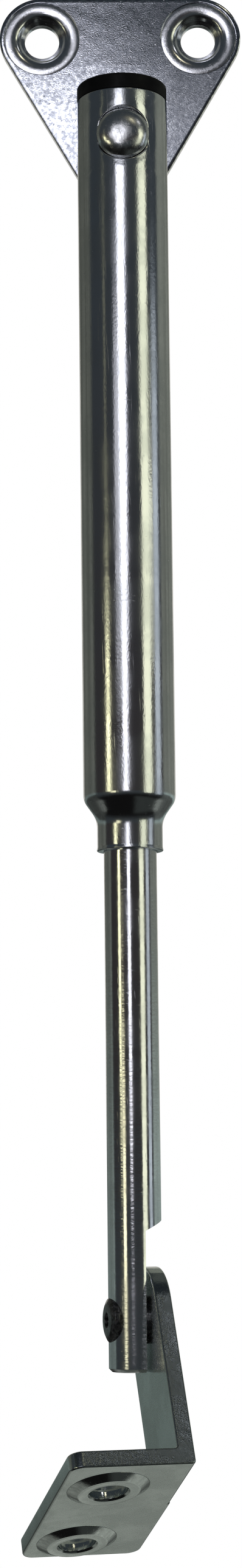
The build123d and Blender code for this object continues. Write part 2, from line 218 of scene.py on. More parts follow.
def buildTurnedTree():
    tree, given, result = newTree("turnedPart", "GeometryNodeTree", [
        ("Geometry", "Geometry", None), ("Sides", "Int", 96),
        ("Weld", "Float", 0.000001), ("Finish", "Material", None),
    ], [("Geometry", "Geometry")])
    count = addNode(tree, "GeometryNodeAttributeDomainSize", {"Geometry": given["Geometry"]})
    columns = plus(tree, given["Sides"], 1.0)
    grid = addNode(tree, "GeometryNodeMeshGrid", {"Vertices X": count["Point Count"], "Vertices Y": columns})
    index = addNode(tree, "GeometryNodeInputIndex")[0]
    # half a step more keeps each division clear of a whole number
    row = mathNode(tree, "FLOOR", mathNode(tree, "DIVIDE", plus(tree, index, 0.5), columns))
    column = mathNode(tree, "SUBTRACT", index, times(tree, row, columns))
    angle = times(tree, mathNode(tree, "DIVIDE", column, given["Sides"]), 2 * math.pi)
    sample = addNode(tree, "GeometryNodeSampleIndex", {
        "Geometry": given["Geometry"], "Value": addNode(tree, "GeometryNodeInputPosition")[0], "Index": row,
    }, data_type="FLOAT_VECTOR")
    profile = addNode(tree, "ShaderNodeSeparateXYZ", {0: sample[0]})
    swept = addNode(tree, "ShaderNodeCombineXYZ", {
        "X": times(tree, profile["X"], mathNode(tree, "COSINE", angle)),
        "Y": times(tree, profile["X"], mathNode(tree, "SINE", angle)),
        "Z": profile["Z"],
    })
    moved = addNode(tree, "GeometryNodeSetPosition", {"Geometry": grid["Mesh"], "Position": swept[0]})
    welded = addNode(tree, "GeometryNodeMergeByDistance", {"Geometry": moved[0], "Distance": given["Weld"]})
    sendOut(tree, addNode(tree, "GeometryNodeSetShadeSmooth", {0: welded[0]})[0], given, result)
    return tree


def buildRingTree(turnedTree):
    tree, given, result = newTree("screwRings", "GeometryNodeTree", [
        ("Geometry", "Geometry", None), ("Ring Profile", "Object", None),
        ("Sides", "Int", 96), ("Finish", "Material", None),
    ], [("Geometry", "Geometry")])
    profile = addNode(tree, "GeometryNodeObjectInfo", {"Object": given["Ring Profile"]})
    turned = addNode(tree, "GeometryNodeGroup", {
        "Geometry": profile["Geometry"], "Sides": given["Sides"], "Finish": given["Finish"],
    }, node_tree=turnedTree)
    rings = {"Points": given["Geometry"], "Instance": turned[0]}
    sendOut(tree, addNode(tree, "GeometryNodeInstanceOnPoints", rings)[0], given, result)
    return tree


turnedTree = buildTurnedTree()
ringTree = buildRingTree(turnedTree)


def profileMesh(points):
    mesh = bpy.data.meshes.new("profile")
    steps = [(i, i + 1) for i in range(len(points) - 1)]
    mesh.from_pydata([(x * unit, 0, z * unit) for x, z in points], steps, [])
    return mesh


def shapedMesh(data, tree, values, place):
    # what a tree makes of some points, in its place and with its normals outwards
    holder = looseObject("shaping", data)
    modifier = holder.modifiers.new("shape", "NODES")
    modifier.node_group = tree
    for item in tree.interface.items_tree:
        if item.item_type == "SOCKET" and item.in_out == "INPUT" and item.name in values:
            modifier[item.identifier] = values[item.name]
    mesh = harvest(holder)
    mesh.transform(place)
    shape = bmesh.new()
    shape.from_mesh(mesh)
    bmesh.ops.recalc_face_normals(shape, faces=shape.faces)
    shape.to_mesh(mesh)
    shape.free()
    return mesh


def turnedMesh(points, place, finish, sides=96):
    # turns a profile of (radius, height) points about local z
    return shapedMesh(profileMesh(points), turnedTree, {"Sides": sides, "Finish": finish}, place)


def ringMesh(points, places, place, finish, sides=128):
    # repeats one turned ring at each of the local places
    profile = looseObject("ringProfile", profileMesh(points + points[:1]))
    spots = bpy.data.meshes.new("ringPlaces")
    spots.from_pydata([Vector(spot) * unit for spot in places], [], [])
    mesh = shapedMesh(spots, ringTree, {"Ring Profile": profile, "Sides": sides, "Finish": finish}, place)
    bpy.data.objects.remove(profile)
    return mesh


print("geometry trees built")


# Shader groups that several finishes share

# detail and roughness of each kind of noise
noiseKinds = {
    "cloud": (4.0, 0.6), "scuff": (1.0, 0.5), "wave": (1.0, 0.5), "grain": (3.0, 0.5),
    "chip": (3.0, 0.6), "streak": (3.0, 0.6),
}
cloudRise, scuffFade = (0.35, 0.65), 0.08


def rangeNode(tree, value, low, high, toLow=0.0, toHigh=1.0):
    return addNode(tree, "ShaderNodeMapRange", {
        "Value": value, "From Min": low, "From Max": high, "To Min": toLow, "To Max": toHigh,
    }, interpolation_type="SMOOTHSTEP")["Result"]


def noiseNode(tree, vector, scale, kind):
    detail, roughness = noiseKinds[kind]
    return addNode(tree, "ShaderNodeTexNoise", {
        "Vector": vector, "Scale": scale, "Detail": detail, "Roughness": roughness,
    })["Fac"]


def mixColours(tree, factor, first, second, blend="MIX"):
    return addNode(tree, "ShaderNodeMix", {"Factor": factor, "A": first, "B": second},
                   data_type="RGBA", blend_type=blend)["Result"]


def scaleColour(tree, colour, factor):
    return addNode(tree, "ShaderNodeVectorMath", {0: colour, "Scale": factor}, operation="SCALE")[0]


def buildScratchGroup():
    # fine straight scuffs that all run one way, each fading out over a short range of the noise
    group, given, result = newTree("scuffMarks", "ShaderNodeTree", [
        ("Vector", "Vector", None), ("Turn", "Float", 0.0),
        ("Fineness", "Float", 9000.0), ("Stretch", "Float", 30.0),
        ("Sparseness", "Float", 0.62),
    ], [("Mask", "Float")])
    turned = addNode(group, "ShaderNodeVectorRotate", {"Vector": given["Vector"], "Angle": given["Turn"]},
                     rotation_type="Y_AXIS")[0]
    split = addNode(group, "ShaderNodeSeparateXYZ", {0: turned})
    drawn = addNode(group, "ShaderNodeCombineXYZ", {
        "X": split["X"], "Y": split["Y"], "Z": mathNode(group, "DIVIDE", split["Z"], given["Stretch"]),
    })[0]
    marks = noiseNode(group, drawn, given["Fineness"], "scuff")
    high = plus(group, given["Sparseness"], scuffFade)
    wire(group, rangeNode(group, marks, given["Sparseness"], high), result["Mask"])
    return group


def buildMottleGroup():
    # soft clouds that shift a colour and a roughness a little
    group, given, result = newTree("softClouds", "ShaderNodeTree", [
        ("Vector", "Vector", None), ("Size", "Float", 300.0),
        ("First", "Color", (0.8, 0.8, 0.8, 1)), ("Second", "Color", (0.7, 0.7, 0.7, 1)),
        ("Smooth", "Float", 0.15), ("Rough", "Float", 0.25),
    ], [("Color", "Color"), ("Roughness", "Float")])
    clouds = noiseNode(group, given["Vector"], given["Size"], "cloud")
    share = rangeNode(group, clouds, *cloudRise)
    wire(group, mixColours(group, share, given["First"], given["Second"]), result["Color"])
    wire(group, rangeNode(group, share, 0.0, 1.0, given["Smooth"], given["Rough"]), result["Roughness"])
    return group


scuffGroup = buildScratchGroup()
cloudGroup = buildMottleGroup()


def newFinish(name, look):
    # a new material, the inputs of its surface, and the soft clouds of its colour and roughness
    finish = bpy.data.materials.new(name)
    finish.use_nodes = True
    tree = finish.node_tree
    coords = addNode(tree, "ShaderNodeTexCoord")["Object"]
    clouds = addNode(tree, "ShaderNodeGroup", {
        "Vector": coords, "Size": look["cloudSize"], "First": look["paleTint"], "Second": look["deepTint"],
        "Smooth": look["smooth"], "Rough": look["rough"],
    }, node_tree=cloudGroup)
    return finish, tree, tree.nodes["Principled BSDF"].inputs, coords, clouds


def setSurface(tree, surface, values, look, height=None):
    # links or sets the surface's inputs, and makes a bump of the height where there is one
    for label, value in values.items():
        wire(tree, value, surface[label])
    if height is not None:
        depth = look["bumpDepth"] * unit
        bump = {"Strength": look["bumpStrength"], "Distance": depth, "Height": height}
        wire(tree, addNode(tree, "ShaderNodeBump", bump)["Normal"], surface["Normal"])


def zincFinish(name, look):
    # bright zinc plate: pale clouds, scuffs in several directions and a faint grain
    finish, tree, surface, coords, clouds = newFinish(name, look)
    colour, marks = clouds["Color"], None
    for turn, sparseness in look["scuffs"]:
        scuff = addNode(tree, "ShaderNodeGroup", {
            "Vector": coords, "Turn": math.radians(turn), "Fineness": look["scuffFineness"],
            "Stretch": look["scuffStretch"], "Sparseness": sparseness,
        }, node_tree=scuffGroup)["Mask"]
        marks = scuff if marks is None else mathNode(tree, "MAXIMUM", marks, scuff)
    added = times(tree, marks, look["scuffRoughness"])
    stretched = addNode(tree, "ShaderNodeMapping", {"Vector": coords, "Scale": look["grainStretch"]})[0]
    grain = noiseNode(tree, stretched, look["grainFineness"], "grain")
    height = plus(tree, times(tree, marks, look["scuffDepth"]), grain)
    waves = noiseNode(tree, coords, look["waveFineness"], "wave")
    height = plus(tree, times(tree, waves, look["waveDepth"]), height)
    if look.get("shearedDepth"):
        # the faces marked as sheared are rougher and chipped, and darkened by a tint that is partly a duller
        # finish and partly painted shade
        sheared = addNode(tree, "ShaderNodeAttribute", attribute_name="sheared")["Fac"]
        colour = mixColours(tree, sheared, colour, look["shearedDullAndShadeTint"], "MULTIPLY")
        added = plus(tree, added, times(tree, sheared, look["shearedRoughness"]))
        chips = noiseNode(tree, coords, look["shearedFineness"], "chip")
        chips = times(tree, times(tree, chips, look["shearedDepth"]), sheared)
        height = plus(tree, height, chips)
    rough = plus(tree, clouds["Roughness"], added)
    setSurface(tree, surface, {"Base Color": colour, "Roughness": rough, "Metallic": 1.0}, look, height)
    return finish


def plainFinish(name, look):
    # plastic, oxide black that also serves as painted shade on washers, plain washers or the floor: clouds,
    # and a grain where the look has one
    finish, tree, surface, coords, clouds = newFinish(name, look)
    grain = noiseNode(tree, coords, look["grainFineness"], "grain") if "grainFineness" in look else None
    setSurface(tree, surface, {
        "Base Color": clouds["Color"], "Roughness": clouds["Roughness"],
        "Metallic": look["metallic"], "Specular IOR Level": look["gloss"],
    }, look, grain)
    return finish


plateLook = {
    "paleTint": (0.80, 0.82, 0.88, 1), "deepTint": (0.40, 0.42, 0.47, 1), "cloudSize": 1500.0,
    "smooth": 0.06, "rough": 0.12,
    "scuffs": [(-62, 0.69), (-35, 0.72), (50, 0.73)], "scuffFineness": 6500.0, "scuffStretch": 6.0,
    "scuffRoughness": 0.08, "scuffDepth": 1.0, "waveFineness": 320.0, "waveDepth": 2.0,
    "grainStretch": (1, 1, 1), "grainFineness": 5000.0, "bumpStrength": 1.0, "bumpDepth": 0.0044,
}
tubeLook = {
    "paleTint": (0.86, 0.87, 0.90, 1), "deepTint": (0.74, 0.76, 0.79, 1), "cloudSize": 120.0,
    "smooth": 0.12, "rough": 0.19,
    "scuffs": [(2, 0.68), (86, 0.72)], "scuffFineness": 4200.0, "scuffStretch": 40.0,
    "scuffRoughness": 0.10, "scuffDepth": 0.25, "waveFineness": 260.0, "waveDepth": 1.0,
    "grainStretch": (1, 1, 0.45), "grainFineness": 4200.0, "bumpStrength": 1.0, "bumpDepth": 0.010,
}
rodLook = {
    "paleTint": (0.86, 0.87, 0.90, 1), "deepTint": (0.76, 0.77, 0.80, 1), "cloudSize": 160.0,
    "smooth": 0.11, "rough": 0.18,
    "scuffs": [(4, 0.70), (80, 0.72)], "scuffFineness": 5200.0, "scuffStretch": 26.0,
    "scuffRoughness": 0.10, "scuffDepth": 0.2, "waveFineness": 420.0, "waveDepth": 0.8,
    "grainStretch": (0.35, 0.35, 1), "grainFineness": 2800.0, "bumpStrength": 1.0, "bumpDepth": 0.014,
}
domeLook = {
    "paleTint": (0.93, 0.93, 0.95, 1), "deepTint": (0.78, 0.79, 0.80, 1), "cloudSize": 700.0,
    "smooth": 0.17, "rough": 0.27,
    "scuffs": [(20, 0.64), (75, 0.66)], "scuffFineness": 3600.0, "scuffStretch": 6.0,
    "scuffRoughness": 0.10, "scuffDepth": 0.15, "waveFineness": 500.0, "waveDepth": 2.0,
    "grainStretch": (1, 1, 1), "grainFineness": 3600.0, "bumpStrength": 1.0, "bumpDepth": 0.006,
}
bracketLook = {
    "paleTint": (0.80, 0.84, 0.83, 1), "deepTint": (0.68, 0.72, 0.71, 1), "cloudSize": 160.0,
    "smooth": 0.17, "rough": 0.25,
    "scuffs": [(-35, 0.66), (28, 0.67), (80, 0.68)], "scuffFineness": 5200.0, "scuffStretch": 16.0,
    "scuffRoughness": 0.10, "scuffDepth": 0.4, "waveFineness": 260.0, "waveDepth": 3.0,
    "grainStretch": (1, 1, 1), "grainFineness": 4600.0, "bumpStrength": 1.0, "bumpDepth": 0.005,
    "shearedDepth": 7.0, "shearedFineness": 1200.0, "shearedRoughness": 0.05,
    # the sheared edges' darker tint is partly a duller finish and partly painted shade
    "shearedDullAndShadeTint": (0.34, 0.36, 0.39, 1),
}
# the pressed rings of the plate are duller than its face, and those of the bracket brighter
plateRingChanges = {
    "paleTint": (0.90, 0.91, 0.94, 1), "deepTint": (0.80, 0.81, 0.85, 1), "smooth": 0.14, "rough": 0.20,
    "scuffDepth": 0.3, "waveDepth": 1.0,
}
bracketRingChanges = {
    "paleTint": (0.84, 0.87, 0.86, 1), "deepTint": (0.72, 0.76, 0.75, 1), "smooth": 0.10, "rough": 0.15,
    "scuffDepth": 0.2, "waveDepth": 1.5, "shearedDepth": 0.0,
}
capLook = {
    "paleTint": (0.007, 0.007, 0.008, 1), "deepTint": (0.004, 0.004, 0.005, 1), "cloudSize": 500.0,
    "smooth": 0.36, "rough": 0.5, "metallic": 0.0, "gloss": 0.12,
    "grainFineness": 5000.0, "bumpStrength": 0.3, "bumpDepth": 0.01,
}
# the lower rivet's oxide black, also used as painted shade on washers
oxideAndShadeLook = {
    "paleTint": (0.085, 0.085, 0.090, 1), "deepTint": (0.010, 0.010, 0.011, 1), "cloudSize": 1500.0,
    "smooth": 0.10, "rough": 0.20, "metallic": 0.5, "gloss": 0.7,
    "grainFineness": 4500.0, "bumpStrength": 0.5, "bumpDepth": 0.014,
}
washerLook = {
    "paleTint": (0.74, 0.75, 0.77, 1), "deepTint": (0.60, 0.61, 0.64, 1), "cloudSize": 600.0,
    "smooth": 0.22, "rough": 0.34, "metallic": 1.0, "gloss": 0.5,
    "grainFineness": 5000.0, "bumpStrength": 0.3, "bumpDepth": 0.008,
}
springLook = {
    "paleTint": (0.42, 0.42, 0.43, 1), "deepTint": (0.30, 0.30, 0.31, 1), "cloudSize": 500.0,
    "smooth": 0.24, "rough": 0.38, "metallic": 1.0, "gloss": 0.5,
    "grainFineness": 5000.0, "bumpStrength": 0.3, "bumpDepth": 0.01,
}
acetalLook = {
    "paleTint": (0.80, 0.79, 0.74, 1), "deepTint": (0.74, 0.73, 0.68, 1), "cloudSize": 300.0,
    "smooth": 0.38, "rough": 0.5, "metallic": 0.0, "gloss": 0.5,
    "grainFineness": 3000.0, "bumpStrength": 0.2, "bumpDepth": 0.01,
}
zincPlate = zincFinish("zincPlate", plateLook)
zincPlateRing = zincFinish("zincPlateRing", {**plateLook, **plateRingChanges})
zincTube = zincFinish("zincTube", tubeLook)
zincRod = zincFinish("zincRod", rodLook)
zincDome = zincFinish("zincDome", domeLook)
zincBracket = zincFinish("zincBracket", bracketLook)
zincBracketRing = zincFinish("zincBracketRing", {**bracketLook, **bracketRingChanges})
capBlack = plainFinish("capBlack", capLook)
oxideAndShadeBlack = plainFinish("oxideAndShadeBlack", oxideAndShadeLook)
washerZinc = plainFinish("washerZinc", washerLook)
springSteel = plainFinish("springSteel", springLook)
acetal = plainFinish("acetal", acetalLook)
print("finishes mixed")


# Mounting plate: a rounded triangle of sheet with two dished screw rings pressed into it

plateSizes = {
    "holeSpacing": 25.0, "cornerRadius": 6.75, "cornerDrop": 21.6506, "front": 2.8, "back": 0.8,
    "rollWidth": 0.6, "rollDepth": 0.11, "rollSteps": 8, "rollShare": 0.85, "rollPower": 2.5,
    "edgeRound": 0.08, "shearLine": 1.75, "shearDepth": 0.07, "shearRound": 0.03,
    "backInset": 0.06, "backRound": 0.12, "backWidth": 0.6,
    "ringRadius": 6.0, "ringLip": 0.07, "lipShare": 0.3, "arcSteps": 36, "ringSteps": 120,
}
ringSizes = {
    "hole": 2.75, "seat": 4.5, "outer": 5.97, "crown": 5.25, "mouth": 3.95, "standoff": 0.8, "step": 0.12,
    "crownFall": 0.13, "crownPower": 2.5, "crownSteps": 26,
    "throat": (3.68, 0.48, 0.2),   # radius, depth below the face, rounding
    "ledge": (3.35, 0.4, 0.25),    # radius, height over the land, rounding
    "landTop": 1.4, "landRound": 0.12, "chamfer": 0.3, "chamferRounds": (0.08, 0.15),
    "seatRound": 0.4, "outerRound": 0.1,
}


def screwRingProfile(sheet, sizes):
    # in over the softly crowned face, down the hole's wall and out under the flat seat
    standoff, face = sizes["standoff"], sizes["standoff"] + sheet - sizes["step"]
    hole, outer, mouth, chamfer = sizes["hole"], sizes["outer"], sizes["mouth"], sizes["chamfer"]
    throat, ledge, rounds = sizes["throat"], sizes["ledge"], sizes["chamferRounds"]
    crown = []
    for step in range(sizes["crownSteps"] + 1):
        radius = outer + (mouth - outer) * step / sizes["crownSteps"]
        fall = sizes["crownFall"] * abs(radius - sizes["crown"]) ** sizes["crownPower"]
        crown.append(Vector((radius, face - fall)))
    inside = roundedPath([
        (*crown[-1], 0.0), (throat[0], face - throat[1], throat[2]),
        (ledge[0], sizes["landTop"] + ledge[1], ledge[2]), (hole, sizes["landTop"], sizes["landRound"]),
        (hole, chamfer, rounds[0]), (hole + chamfer, 0.0, rounds[1]),
        (sizes["seat"], 0.0, sizes["seatRound"]), (outer, standoff, sizes["outerRound"]), (*crown[0], 0.0),
    ])
    return crown + inside[1:-1]


def plateRim(sizes):
    # the edge's section as (inset, height): die roll, burnished band, shear line and back edge
    front, back, rollDepth = sizes["front"], sizes["back"], sizes["rollDepth"]
    line, depth, rounding = sizes["shearLine"], sizes["shearDepth"], sizes["shearRound"]
    rim = []
    for step in range(sizes["rollSteps"] + 1):
        share = step / sizes["rollSteps"] * sizes["rollShare"]
        height = front - rollDepth * share ** sizes["rollPower"]
        rim.append(Vector((sizes["rollWidth"] * (1 - share), height)))
    return rim[:-1] + roundedPath([
        (*rim[-1], 0.0), (0.0, front - rollDepth, sizes["edgeRound"]), (0.0, line, rounding),
        (depth, line - depth, rounding), (depth + sizes["backInset"], back, sizes["backRound"]),
        (sizes["backWidth"], back, 0.0),
    ])


def plateMesh(sizes):
    shape = bmesh.new()
    half = sizes["holeSpacing"] / 2
    # the middle of each corner's arc, and the angle at which the arc starts
    corners = [(half, 0.0, -30), (-half, 0.0, 90), (0.0, -sizes["cornerDrop"], 210)]

    def outline(inset, height):
        ring, reach = [], sizes["cornerRadius"] - inset
        for x, z, first in corners:
            for step in range(sizes["arcSteps"] + 1):
                angle = math.radians(first + 120 * step / sizes["arcSteps"])
                spot = (x + reach * math.cos(angle), -height, z + reach * math.sin(angle))
                ring.append(shape.verts.new(spot))
        return ring

    def circle(x, radius, height):
        turns = [2 * math.pi * step / sizes["ringSteps"] for step in range(sizes["ringSteps"])]
        return [shape.verts.new((x + radius * math.cos(a), -height, radius * math.sin(a))) for a in turns]

    def fill(rings):
        edges = [shape.edges.get((ring[i - 1], ring[i])) for ring in rings for i in range(len(ring))]
        bmesh.ops.triangle_fill(shape, use_beauty=True, edges=edges)

    rim = [outline(inset, height) for inset, height in plateRim(sizes)]
    joinRings(shape, rim)
    reach, lip, front, back = sizes["ringRadius"], sizes["ringLip"], sizes["front"], sizes["back"]
    inner = lip * sizes["lipShare"]
    steps = [(reach + lip, front), (reach + inner, front - inner), (reach, front - lip), (reach, back)]
    holes = []
    for x in (-half, half):
        holes.append([circle(x, radius, height) for radius, height in steps])
        joinRings(shape, holes[-1])
    fill([rim[0]] + [hole[0] for hole in holes])
    fill([rim[-1]] + [hole[-1] for hole in holes])
    return finishShape(shape, "plate", Matrix())


def softEdges(mesh, width=0.0, angle=40, byWeight=False):
    # rounds the sharp edges of a mesh and keeps its flats flat
    holder = looseObject("softening", mesh)
    if width:
        bevel = holder.modifiers.new("edges", "BEVEL")
        bevel.width = width * unit
        bevel.segments = 3
        bevel.limit_method = "WEIGHT" if byWeight else "ANGLE"
        bevel.angle_limit = math.radians(angle)
        bevel.use_clamp_overlap = not byWeight
    flats = holder.modifiers.new("flats", "WEIGHTED_NORMAL")
    flats.mode = "FACE_AREA_WITH_ANGLE"
    flats.keep_sharp = True
    return harvest(holder)


addPiece("plate", softEdges(plateMesh(plateSizes)), "plate", ["mounting_plate"], zincPlate)
ringSpots = [(x, 0, 0) for x in (-plateSizes["holeSpacing"] / 2, plateSizes["holeSpacing"] / 2)]
ringPlace = placing(Vector(), forward, Vector((1, 0, 0)))
ringPath = screwRingProfile(plateSizes["front"] - plateSizes["back"], ringSizes)
addPiece("plateRings", ringMesh(ringPath, ringSpots, ringPlace, zincPlateRing),
         "plate", [], zincPlateRing)
print("mounting plate made")


# Tube: turned, with its wall pressed in round the pivot at the front and back

tubeSizes = {
    "radius": 7.0, "bore": 6.1, "wall": 0.9, "endRound": 0.25, "boreRound": 0.2, "fineness": 5,
    "neckLength": 4.8, "neckRadius": 4.95, "neckBore": 4.05, "neckAngle": 35.0,
    "neckTopRound": 2.5, "neckFootRound": 4.0,
    "rimFlare": 0.12, "rimLength": 0.6, "flareRound": 0.5, "rimRound": 0.18,
    "dentRadius": 4.05, "dentFloor": 5.75, "dentSoftness": 0.3, "dentSpread": 1.6,
    "dishGap": 0.1, "dishDepth": 0.045, "dishWidth": 1.4,
    "columns": 144, "dentColumns": 22, "dentReach": 6.4, "dentRows": 44, "boreRows": 24,
    "blendShares": (0.3, 0.6, 0.85),   # steps from the patch's border in to the first round ring
    "wallRings": 28, "wallRingEnd": 3.4, "floorRings": (2.6, 1.4), "weld": 0.0005,
}


def smoothShare(value):
    value = min(1.0, max(0.0, value))
    return value * value * (3 - 2 * value)


def tubeMesh(sizes):
    top, foot, pivot = stay["tubeTop"], stay["tubeFoot"], -stay["pivotDrop"]
    outer, bore, wall = sizes["radius"], sizes["bore"], sizes["wall"]
    neck, neckBore, neckTop = sizes["neckRadius"], sizes["neckBore"], foot + sizes["neckLength"]
    coneTop = neckTop + (outer - neck) / math.tan(math.radians(sizes["neckAngle"]))
    lift = wall * math.tan(math.radians(sizes["neckAngle"] / 2))
    topRound, footRound, rimRound = sizes["neckTopRound"], sizes["neckFootRound"], sizes["rimRound"]
    path = roundedPath([
        (bore, top, sizes["boreRound"]), (outer, top, sizes["endRound"]),
        (outer, coneTop, topRound), (neck, neckTop, footRound),
        (neck, foot + sizes["rimLength"], sizes["flareRound"]), (neck + sizes["rimFlare"], foot, rimRound),
        (neckBore, foot, rimRound), (neckBore, neckTop + lift, footRound + wall),
        (bore, coneTop + lift, topRound - wall),
    ], closed=True, fineness=sizes["fineness"])
    first = max(range(len(path)), key=lambda i: (path[i].x, path[i].y))
    path = path[first:] + path[:first]
    dentTop, dentFoot = pivot + sizes["dentReach"], pivot - sizes["dentReach"]
    close, slack = 0.001, 0.01

    def levels(radius, start, end, count):
        return [Vector((radius, start + (end - start) * step / count)) for step in range(count + 1)]

    # rows of points down the outside, round the neck and up the bore, with extra ones at the dents
    patchStart, patchEnd = 1, 1 + sizes["dentRows"]
    rows = path[:1] + levels(outer, dentTop, dentFoot, sizes["dentRows"]) + path[1:]
    boreFoot = [i for i, point in enumerate(rows) if abs(point.x - bore) < close][0]
    rows[boreFoot + 1:boreFoot + 1] = levels(bore, dentFoot, dentTop, sizes["boreRows"])

    columns, reach = sizes["columns"], sizes["dentColumns"]
    halfway = columns // 2
    shape = bmesh.new()
    made = {}

    def pressedIn(across, height, surface, floor, edge):
        # how far the pivot's dent takes a wall point towards its flat floor
        distance = math.hypot(across, height - pivot)
        softness = sizes["dentSoftness"]
        share = smoothShare((edge + softness - distance) / (sizes["dentSpread"] * softness))
        beyond = (distance - edge - sizes["dishGap"]) / sizes["dishWidth"]
        dish = sizes["dishDepth"] * max(0.0, 1 - beyond ** 2) ** 2
        return surface - dish - share * max(0.0, surface - dish - floor)

    def gridVertex(row, column):
        column %= columns
        key = (row, column)
        if key not in made:
            radius, height = rows[row]
            angle = 2 * math.pi * column / columns
            across, out = radius * math.sin(angle), radius * math.cos(angle)
            if radius < bore + slack and height > dentFoot - slack:
                sign = 1 if out > 0 else -1
                floor, edge = sizes["dentFloor"] - wall, sizes["dentRadius"] + wall
                out = sign * pressedIn(across, height, abs(out), floor, edge)
            made[key] = shape.verts.new((across, -out, height))
        return made[key]

    def inPatch(row, column):
        near = min(abs(column + 0.5), abs(column + 0.5 - halfway), abs(column + 0.5 - columns))
        return patchStart <= row < patchEnd and near < reach

    for row in range(len(rows)):
        below = (row + 1) % len(rows)
        for column in range(columns):
            if not inPatch(row, column):
                corners = [gridVertex(row, column), gridVertex(row, column + 1),
                           gridVertex(below, column + 1), gridVertex(below, column)]
                shape.faces.new(corners)

    # each dent is ringed from its patch's border in to the middle of its floor
    edge, count = sizes["dentRadius"], sizes["wallRings"]
    widest = edge + sizes["dishGap"] + sizes["dishWidth"]
    radii = [widest - (widest - sizes["wallRingEnd"]) * step / count for step in range(count + 1)]
    radii += sizes["floorRings"]
    stages = [("blend", share) for share in sizes["blendShares"]] + [("circle", radius) for radius in radii]
    for side, start in ((1, -reach), (-1, halfway - reach)):
        border = [(patchStart, start + i) for i in range(2 * reach)]
        border += [(row, start + 2 * reach) for row in range(patchStart, patchEnd)]
        border += [(patchEnd, start + i) for i in range(2 * reach, 0, -1)]
        border += [(row, start) for row in range(patchEnd, patchStart, -1)]
        ring = [gridVertex(row, column) for row, column in border]
        spokes = [Vector((vertex.co.x, vertex.co.z - pivot)) for vertex in ring]
        for kind, amount in stages:
            inwards = []
            for spoke in spokes:
                far = spoke.length
                distance = far + (widest - far) * amount if kind == "blend" else amount
                across, height = spoke.normalized() * distance
                surface = math.sqrt(outer ** 2 - across ** 2)
                out = pressedIn(across, height + pivot, surface, sizes["dentFloor"], edge)
                inwards.append(shape.verts.new((across, -side * out, height + pivot)))
            joinRings(shape, [ring, inwards])
            ring = inwards
        centre = shape.verts.new((0, -side * sizes["dentFloor"], pivot))
        for i in range(len(ring)):
            shape.faces.new((ring[i], ring[(i + 1) % len(ring)], centre))
    return finishShape(shape, "tube", Matrix.Translation(tubeAxis), sizes["weld"])


addPiece("tube", tubeMesh(tubeSizes), "tube", ["outer_tube"], zincTube)
print("tube made")


# Upper rivet: a low bright dome in the tube's dent, and its tail behind the plate

upperRivetSizes = {
    "headSeat": 6.13, "headRadius": 4.03, "headHeight": 1.75, "headPower": 2.8, "edgePower": 0.6,
    "rimHeight": 0.1, "rimInset": 0.08,
    "pinRadius": 2.5, "tailRadius": 3.2, "tailFace": -10.0, "tailHeight": 0.65, "domeSteps": 18,
}


def domePath(radius, foot, height, steps):
    # from the rim of a low dome to its middle, below the rim where the height is negative
    sphere = (radius ** 2 + height ** 2) / (2 * height)
    full = math.asin(radius / sphere)
    points = []
    for step in range(steps + 1):
        angle = full * (1 - step / steps)
        points.append(Vector((sphere * math.sin(angle), foot + height - sphere + sphere * math.cos(angle))))
    return points


def upperRivetProfile(sizes):
    # the head is nearly flat in the middle and rounds over towards its rim
    seat, radius, face, steps = sizes["headSeat"], sizes["headRadius"], sizes["tailFace"], sizes["domeSteps"]
    head = []
    for step in range(2 * steps + 1):
        share = math.sin(math.pi / 2 * step / (2 * steps))
        height = sizes["headHeight"] * (1 - share ** sizes["headPower"]) ** sizes["edgePower"]
        head.append(Vector((radius * share, seat + sizes["rimHeight"] + height)))
    pin = [(radius - sizes["rimInset"], seat), (sizes["pinRadius"], seat), (sizes["pinRadius"], face)]
    return head + [Vector(p) for p in pin] + domePath(sizes["tailRadius"], face, -sizes["tailHeight"], steps)


upperRivetMesh = turnedMesh(upperRivetProfile(upperRivetSizes), placing(upperPivot, forward), zincDome)
addPiece("upperRivet", upperRivetMesh, "plate", ["pivot_rivet"], zincDome)
print("upper rivet made")


# Rod: round where it slides, with a flat beside the bracket and a small chamfer at its end

rodSizes = {
    "radius": 4.0, "top": -112.0, "flatOffset": 0.6, "flatTop": 13.0, "shoulderAngle": 25.0,
    "endChamfer": 0.5, "edgeRound": 0.14, "edgeAngle": 34,
    "arcSteps": 60, "flatSteps": 40, "roundSteps": 8, "lowerSteps": 6, "weld": 0.0005,
    "roundFoot": 3.4,   # the last round section, over the flat's top
    "cutShares": (0.0, 0.25, 0.5, 0.75, 1.0),   # sections along the shoulder
}


def rodMesh(sizes):
    radius, flat = sizes["radius"], sizes["flatOffset"]
    corner = math.acos(-flat / radius)
    angles = [-corner + 2 * corner * step / sizes["arcSteps"] for step in range(sizes["arcSteps"])]
    flatSpan = 2 * math.pi - 2 * corner
    angles += [corner + flatSpan * step / sizes["flatSteps"] for step in range(sizes["flatSteps"])]
    slope = math.tan(math.radians(sizes["shoulderAngle"]))
    flatTop = stay["lowerPivot"] + sizes["flatTop"]
    top, end = sizes["top"], stay["rodEnd"]
    shape = bmesh.new()

    def section(reach, height, cut, rise=0.0):
        # one turn of points: cut 0 leaves it round, 1 takes the far side back to the flat,
        # and rise lifts the shares between them along the sloping shoulder
        turn = []
        for angle in angles:
            across, front, level = reach * math.cos(angle), reach * math.sin(angle), height
            over = -flat - across
            if over > 0:
                across += over * cut
                level += over * (1 - cut) * rise
            turn.append(shape.verts.new(toHead * across + toFront * front + upward * level))
        return turn

    count, foot = sizes["roundSteps"], flatTop + sizes["roundFoot"]
    sections = [section(radius, top + (foot - top) * step / count, 0) for step in range(count + 1)]
    sections += [section(radius, flatTop, share, slope) for share in sizes["cutShares"]]
    count, foot = sizes["lowerSteps"], end + sizes["endChamfer"]
    for step in range(1, count + 1):
        sections.append(section(radius, flatTop + (foot - flatTop) * step / count, 1))
    sections.append(section(radius - sizes["endChamfer"], end, 1))
    joinRings(shape, sections)
    shape.faces.new(sections[0])
    shape.faces.new(sections[-1])
    return finishShape(shape, "rod", Matrix.Translation(tubeAxis), sizes["weld"])


